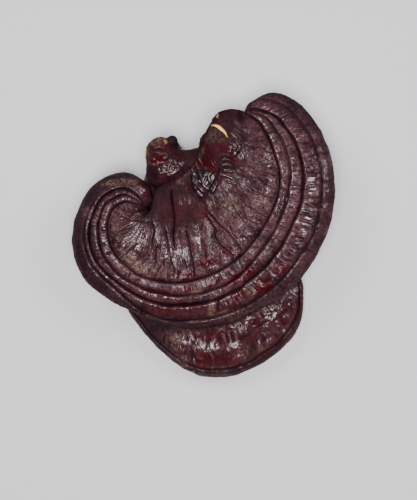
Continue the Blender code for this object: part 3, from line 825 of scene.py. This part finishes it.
def stem_piece(name):
    """The stem's lumps fused into one skin."""
    mesh = bmesh.new()
    for start, start_radius, end, end_radius in STRANDS:
        start, end = Vector(start), Vector(end)
        steps = max(1, math.ceil((end - start).length / LUMP_SPACING))
        for step in range(steps + 1):
            share = step / steps
            made = bmesh.ops.create_icosphere(mesh, subdivisions=3, radius=1)["verts"]
            radius = start_radius + share * (end_radius - start_radius)
            bmesh.ops.scale(mesh, verts=made, vec=(radius * MM,) * 3)
            bmesh.ops.translate(mesh, verts=made, vec=start.lerp(end, share) * MM)
    data = bpy.data.meshes.new(name)
    mesh.to_mesh(data)
    mesh.free()
    lumps = new_object(name + "_lumps", data)
    fuse = lumps.modifiers.new("fuse", "REMESH")
    fuse.mode = "VOXEL"
    fuse.voxel_size = STEM_VOXEL * MM
    soften = lumps.modifiers.new("soften", "SMOOTH")
    soften.factor = 0.7
    soften.iterations = 12
    fused = bpy.data.meshes.new_from_object(lumps.evaluated_get(bpy.context.evaluated_depsgraph_get()))
    bpy.data.objects.remove(lumps)
    finish_stem(fused)
    return new_object(name, fused)


def finish_stem(data):
    """Shapes and paints the stem's skin: ribs up the column, swellings and folds on the stub, a flat cut."""
    place, normal = np.zeros((2, 3 * len(data.vertices)))
    data.vertices.foreach_get("co", place)
    data.vertex_normals.foreach_get("vector", normal)
    place, normal = place.reshape(-1, 3) / MM, normal.reshape(-1, 3)
    x, y, z = place.T
    head, above = ramp(20, 26, z), ramp(27, 30, z)
    relief = 0.35 * noise(101, 3.4, x, y, z) + 0.18 * (folds(103, 2, x, y, z) - 1)
    relief += 0.06 * noise(104, 0.8, x, y, z)
    ribs = folds(105, 1, np.arctan2(y, x) * 5, z / 11) - 1
    relief += 0.7 * (1 - head) * ribs + above * domes(STUB_SWELLINGS, x, y)
    crumpled = cover(STUB_CRUMPLES, x, y, 1.25, 0.7)
    crumple = 0.6 * raised_lines(STUB_LINES, x, y, 0.6, 121) + crumpled * (0.2 * noise(123, 1.8, x, y) - 0.2)
    place = place + (relief + above * crumple)[:, None] * normal
    place[:, 2] = np.maximum(place[:, 2], 0)
    data.vertices.foreach_set("co", (place * MM).ravel())
    data.update()
    # Painted shade on the strands that sink under the roll's tip, in the gap's shadow
    gap_shade = (1 - above) * ramp(-12, -16, y) * ramp(10, 16, z)
    column_dust = 0.5 * (1 - head) * ramp(0.2, 0.9, noise(113, 4, x, y, z))
    stub_gloss = np.maximum(0.9 * crumpled, patches(STUB_GLOSS, x, y, 116))
    looks = {
        "cork": (z < 0.3) * (normal[:, 2] < -0.5),
        # Painted shade in the hollows between the column's ribs
        "hollow_shade": (1 - head) * ramp(-0.45, -0.95, ribs),
        "dust": above * patches(STUB_DUST, x, y, 111) + column_dust,
        "gloss": above * stub_gloss + 0.25 * (1 - above) * (1 - gap_shade),
        "pores": 0 * x,
        "red": above * patches(STUB_RED, x, y, 115) + 0.1 * head,
        # rim: the stub's near-black patches, and painted shade on the strands in the gap's shadow
        "rim": np.maximum(above * patches(STUB_DARK, x, y, 117), gap_shade),
        "stem_side": head,
        "torn": (z > 26) * patches(STUB_CHIPS, x, y, 119),
    }
    around = np.arctan2(y, x) * 8
    paint(data, looks, np.column_stack([around * (1 - head) + x * head, z * (1 - head) + y * head, z]))


class Shader:
    """A Principled material built node by node, each step returning the socket to go on from."""

    def __init__(self, name):
        self.material = bpy.data.materials.new(name)
        self.material.use_nodes = True
        tree = self.material.node_tree
        self.nodes, self.links = tree.nodes, tree.links
        self.place = self.nodes.new("ShaderNodeTexCoord").outputs["Object"]

    def set(self, node, inputs):
        """Sets or links a node's inputs, by number or by name with an underscore for each space."""
        for key, value in inputs.items():
            socket = node.inputs[key if isinstance(key, int) else key.replace("_", " ")]
            if hasattr(value, "is_output"):
                self.links.new(value, socket)
            else:
                socket.default_value = value

    def node(self, kind, *values, **inputs):
        made = self.nodes.new("ShaderNode" + kind)
        self.set(made, {**dict(enumerate(values)), **inputs})
        return made

    def attribute(self, name, output):
        reader = self.node("Attribute")
        reader.attribute_name = name
        return reader.outputs[output]

    def looks(self):
        """The painted fields by name, each a number from 0 to 1."""
        found = {}
        for start in range(0, len(FIELDS), 3):
            painted = self.attribute("looks_%d" % (start // 3), "Color")
            found.update(zip(FIELDS[start:start + 3], self.node("SeparateColor", Color=painted).outputs))
        return found

    def growth(self, scale):
        """The lengths along the rim and outwards, stretched by the scale."""
        return self.node("Mapping", self.attribute("growth", "Vector"), Scale=scale).outputs[0]

    def noise(self, scale, detail, roughness, distortion=0.0, vector=None):
        return self.node(
            "TexNoise", vector or self.place,
            Scale=scale, Detail=detail, Roughness=roughness, Distortion=distortion,
        ).outputs["Fac"]

    def cells(self, scale, vector=None):
        return self.node("TexVoronoi", vector or self.place, Scale=scale).outputs["Distance"]

    def remap(self, value, low, high, to_low=0.0, to_high=1.0):
        made = self.node("MapRange", value, low, high, to_low, to_high)
        made.interpolation_type = "SMOOTHSTEP"
        return made.outputs["Result"]

    def math(self, operation, first, second):
        made = self.node("Math", first, second)
        made.operation = operation
        return made.outputs[0]

    def times(self, first, second):
        return self.math("MULTIPLY", first, second)

    def shifted(self, value, looks, amounts):
        """The value with each named field times its amount added."""
        for name, amount in amounts.items():
            value = self.math("ADD", value, self.times(looks[name], amount))
        return value

    def mix(self, share, first, second):
        """Mixes two colours. A colour is a linear red, green and blue, or a socket."""
        made = self.node("Mix", share)
        made.data_type = "RGBA"
        colours = [colour if hasattr(colour, "is_output") else (*colour, 1) for colour in (first, second)]
        self.set(made, {6: colours[0], 7: colours[1]})
        return made.outputs[2]

    def bump(self, height, depth_mm, strength, **under):
        return self.node("Bump", Height=height, Distance=depth_mm * MM, Strength=strength, **under).outputs[0]

    def finish(self, **inputs):
        self.set(self.nodes["Principled BSDF"], inputs)
        return self.material


def crust_material(name, stem_maroon, roughness):
    """Varnished crust: maroon, blood red where it is glossy, dusty tan in patches, with painted shade in
    hollows and at the rim.
    """
    shader = Shader(name)
    looks, remap, times = shader.looks(), shader.remap, shader.times
    broad = shader.noise(110, 4, 0.6)
    grain = shader.noise(900, 3, 0.6)
    streaks = shader.noise(1.0, 3, 0.6, 0.3, shader.growth((0.9, 0.28, 1.0)))
    blocks = shader.cells(1.0, shader.growth((0.85, 0.5, 1.0)))
    flecks_and_glints = shader.noise(2100, 2, 0.6)
    pore = remap(shader.cells(3200), 0.15, 0.5)
    plainer = remap(looks["stem_side"], 0.2, 0.9, 1.0, 0.2)
    dusty = times(looks["dust"], remap(grain, 0.3, 0.75))
    base = shader.mix(remap(broad, 0.34, 0.64), MAROON, BROWN_RED)
    for share, colour in (
        (times(looks["stem_side"], stem_maroon), MAROON),
        (times(remap(streaks, 0.42, 0.72, 0, 0.55), plainer), PURPLE_GREY),
        (remap(shader.noise(330, 4, 0.7), 0.48, 0.68, 0, 0.5), RED_BROWN),
        (remap(grain, 0.4, 0.6, 0.45, 0), BLACK),
        # Pink-grey flecks: fine grain of the crust, partly painted highlight specks
        (times(remap(flecks_and_glints, 0.55, 0.7, 0, 0.5), plainer), PINK_GREY),
        (times(looks["red"], 0.92), BLOOD_RED),
        # Painted shade towards the margin, in shaded patches and in gaps, with the stub's near-black patches
        (times(looks["rim"], 0.8), PURPLE_BLACK),
        (dusty, TAN_DUST),
        # Painted shade in furrows, cracks and hollows
        (times(looks["hollow_shade"], 0.9), PURPLE_BLACK),
        (looks["pores"], shader.mix(pore, PORE_BROWN, shader.mix(broad, PORE_TAN, PORE_BROWN))),
        (looks["cork"], shader.mix(shader.noise(700, 3, 0.7, 1.0), CORK_BROWN, PORE_TAN)),
        (looks["torn"], CREAM_FLESH),
    ):
        base = shader.mix(share, base, colour)
    rough = remap(grain, 0.3, 0.75, roughness, roughness + 0.2)
    rougher = {"gloss": -0.14, "red": -0.08, "hollow_shade": 0.35, "pores": 0.5, "cork": 0.5, "torn": 0.4}
    rough = shader.math("ADD", shader.shifted(rough, looks, rougher), times(dusty, 0.35))
    varnish = shader.math("ADD", 0.02, times(looks["gloss"], 0.74))
    varnish = times(varnish, remap(broad, 0.3, 0.7, 0.75, 1.15))
    barer = {"hollow_shade": -0.45, "rim": -0.25, "pores": -0.8, "cork": -0.8, "torn": -0.6}
    varnish = shader.math("MAXIMUM", shader.shifted(varnish, looks, barer), 0.0)
    calm = remap(looks["gloss"], 0.3, 0.95, 0.85, 0.4)
    coarse = shader.bump(shader.math("ADD", blocks, streaks), 0.1, calm)
    fine = shader.bump(grain, 0.05, calm, Normal=coarse)
    pitted = shader.bump(times(looks["pores"], pore), 0.12, 0.9, Normal=fine)
    return shader.finish(
        Base_Color=base, Roughness=rough, Normal=pitted, Coat_Normal=pitted, Specular_IOR_Level=0.04,
        Coat_Weight=varnish, Coat_Roughness=0.18, Coat_IOR=1.5,
    )


def floor_piece():
    bpy.ops.mesh.primitive_plane_add(size=FLOOR_SIZE, location=(0, 0, -FLOOR_GAP))
    floor = bpy.context.object
    floor.name = "floor"
    floor.data.materials.append(Shader("floor").finish(Base_Color=FLOOR_GREY, Roughness=0.7))


def area_light(name, place, size, power, colour):
    light = bpy.data.lights.new(name, "AREA")
    light.shape = "DISK"
    light.size = size
    light.energy = power
    light.color = colour
    lamp = new_object(name, light)
    lamp.location = place
    lamp.rotation_euler = (Vector(LIT_PLACE) - Vector(place)).to_track_quat("-Z", "Y").to_euler()


def studio():
    """The camera, the floor, the lights and the dim sky around them."""
    view = bpy.data.cameras.new("photo")
    view.sensor_width = 36
    view.lens = CAMERA_LENS
    eye = new_object("photo", view)
    eye.location = CAMERA_PLACE
    bpy.context.scene.camera = eye
    world = bpy.data.worlds.new("studio")
    world.use_nodes = True
    sky = world.node_tree.nodes["Background"].inputs
    sky["Color"].default_value = SKY_COLOUR
    sky["Strength"].default_value = SKY_STRENGTH
    bpy.context.scene.world = world
    for light in LIGHTS:
        area_light(*light)
    floor_piece()


def dress(piece, material, node):
    piece.data.materials.append(material)
    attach(piece, "root")
    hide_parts(node)


def main():
    studio()
    rim = cap_piece("upper_rim", UPPER_CAP, "body", UPPER_MARKS)
    disc = cap_piece("upper_disc", UPPER_CAP, "disc", UPPER_MARKS)
    lower = cap_piece("lower_crust", LOWER_CAP, "whole", LOWER_MARKS)
    stalk = stem_piece("stem_crust")
    upper_crust = crust_material("upper_crust", 0.85, 0.52)
    dress(rim, upper_crust, "upper_cap")
    dress(disc, upper_crust, "upper_cap")
    dress(lower, crust_material("lower_crust", 0.3, 0.48), "lower_cap")
    dress(stalk, crust_material("stem_crust", 0.8, 0.5), "stem")


main()
